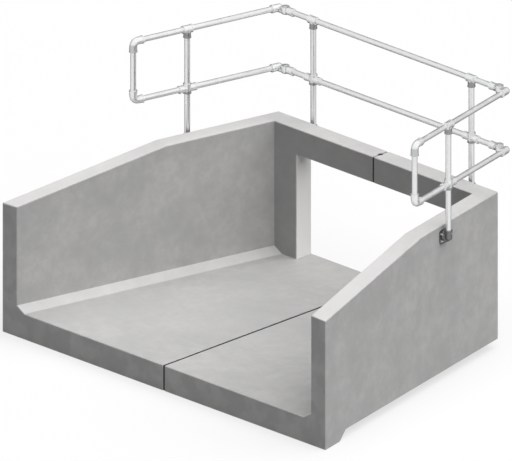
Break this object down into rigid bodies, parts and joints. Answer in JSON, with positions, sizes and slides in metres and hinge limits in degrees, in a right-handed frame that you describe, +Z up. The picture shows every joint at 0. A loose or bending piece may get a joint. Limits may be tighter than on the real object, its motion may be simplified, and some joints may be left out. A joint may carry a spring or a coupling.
{
  "type": "culvert headwall",
  "caption": "Two-part precast concrete headwall for a box culvert, with splayed wing walls, an apron floor with a toe, and a galvanised tubular handrail clamped outside the walls",
  "frame": {"origin": "under the middle of the whole part, at the level of the toe's underside, on the plane of the joint between the castings", "axes": "+Z up, +Y from the open front toward the culvert, +X to the right as seen from the open front"},
  "size_m": [3.7778, 2.7274, 2.3255],
  "materials": {
    "concrete": "smooth formed concrete, light grey, fine mottling and small air holes",
    "sealant": "black joint sealing strip, matt",
    "grout": "very dark cement grout",
    "galvanised_tube": "hot-dip galvanised steel tube, satin, faint spangle",
    "galvanised_fitting": "hot-dip galvanised malleable cast iron, slightly rough",
    "palm_casting": "hot-dip galvanised malleable cast iron, weathered dull and dark"
  },
  "bodies": {
    "root": {"headwall_left": "concrete", "headwall_right": "concrete", "floor_joint_seal": "sealant", "lintel_joint_seals": "sealant", "lintel_grout_key": "grout", "wing_post_left": "galvanised_tube", "back_post_left": "galvanised_tube", "wing_top_rail_left": "galvanised_tube", "wing_mid_rail_rear_left": "galvanised_tube", "wing_mid_rail_front_left": "galvanised_tube", "end_bar_left": "galvanised_tube", "back_mid_rail_left": "galvanised_tube", "wing_palm_left": "palm_casting", "back_palm_left": "palm_casting", "wing_top_tee_left": "galvanised_fitting", "back_top_tee_left": "galvanised_fitting", "wing_mid_cross_left": "galvanised_fitting", "back_mid_cross_left": "galvanised_fitting", "corner_eye_top_left": "galvanised_fitting", "corner_lug_top_left": "galvanised_fitting", "end_elbow_top_left": "galvanised_fitting", "corner_eye_mid_left": "galvanised_fitting", "corner_lug_mid_left": "galvanised_fitting", "end_elbow_mid_left": "galvanised_fitting", "wing_post_right": "galvanised_tube", "back_post_right": "galvanised_tube", "wing_top_rail_right": "galvanised_tube", "wing_mid_rail_rear_right": "galvanised_tube", "wing_mid_rail_front_right": "galvanised_tube", "end_bar_right": "galvanised_tube", "back_mid_rail_right": "galvanised_tube", "wing_palm_right": "palm_casting", "back_palm_right": "palm_casting", "wing_top_tee_right": "galvanised_fitting", "back_top_tee_right": "galvanised_fitting", "wing_mid_cross_right": "galvanised_fitting", "back_mid_cross_right": "galvanised_fitting", "corner_eye_top_right": "galvanised_fitting", "corner_lug_top_right": "galvanised_fitting", "end_elbow_top_right": "galvanised_fitting", "corner_eye_mid_right": "galvanised_fitting", "corner_lug_mid_right": "galvanised_fitting", "end_elbow_mid_right": "galvanised_fitting", "back_top_rail": "galvanised_tube", "back_mid_rail_centre": "galvanised_tube"}
  },
  "joints": []
}
